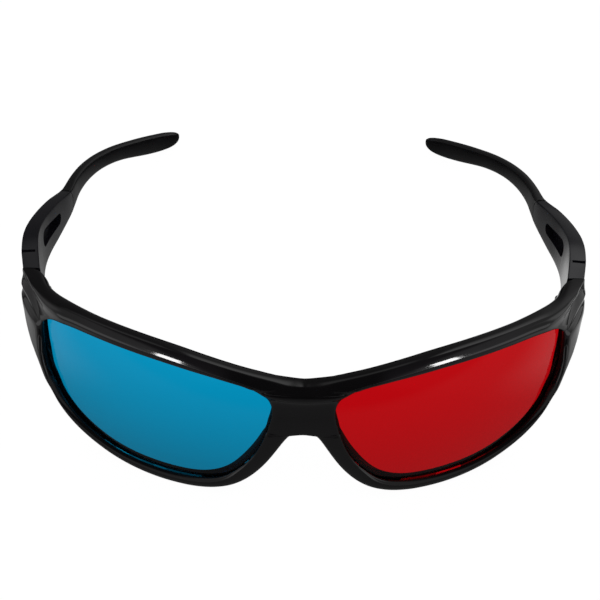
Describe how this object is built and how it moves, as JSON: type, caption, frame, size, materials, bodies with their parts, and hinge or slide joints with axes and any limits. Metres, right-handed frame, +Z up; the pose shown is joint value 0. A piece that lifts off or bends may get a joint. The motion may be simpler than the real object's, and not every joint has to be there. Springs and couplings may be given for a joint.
{
  "type": "anaglyph 3d glasses",
  "caption": "Wrap-around anaglyph viewing glasses: moulded black front with a red and a cyan lens, and temples that fold inward on screw hinges.",
  "frame": {"origin": "centre of the part's box, on the table it stands on", "axes": "+X towards the wearer's left, +Y from the lenses back to the ear tips, +Z up"},
  "size_m": [0.1506, 0.1606, 0.0394],
  "materials": {
    "frame_black": "gloss",
    "lens_cyan": "clear gloss",
    "lens_red": "clear gloss",
    "temple_black": "gloss",
    "tip_satin": "satin",
    "screw_steel": "plain"
  },
  "bodies": {
    "front": {"front_frame": "frame_black", "right_lens": "lens_cyan", "left_lens": "lens_red", "right_hinge_screw": "screw_steel", "left_hinge_screw": "screw_steel"},
    "right_arm": {"right_temple": "temple_black", "right_ear_tip": "tip_satin"},
    "left_arm": {"left_temple": "temple_black", "left_ear_tip": "tip_satin"}
  },
  "joints": [
    {"name": "right_fold", "type": "hinge", "parent": "front", "child": "right_arm", "pos_m": [-0.0681, -0.03603, 0.0265], "axis": [0, 0, -1], "range_deg": [0, 90]},
    {"name": "left_fold", "type": "hinge", "parent": "front", "child": "left_arm", "pos_m": [0.0681, -0.03603, 0.0265], "axis": [0, 0, 1], "range_deg": [0, 82]}
  ]
}
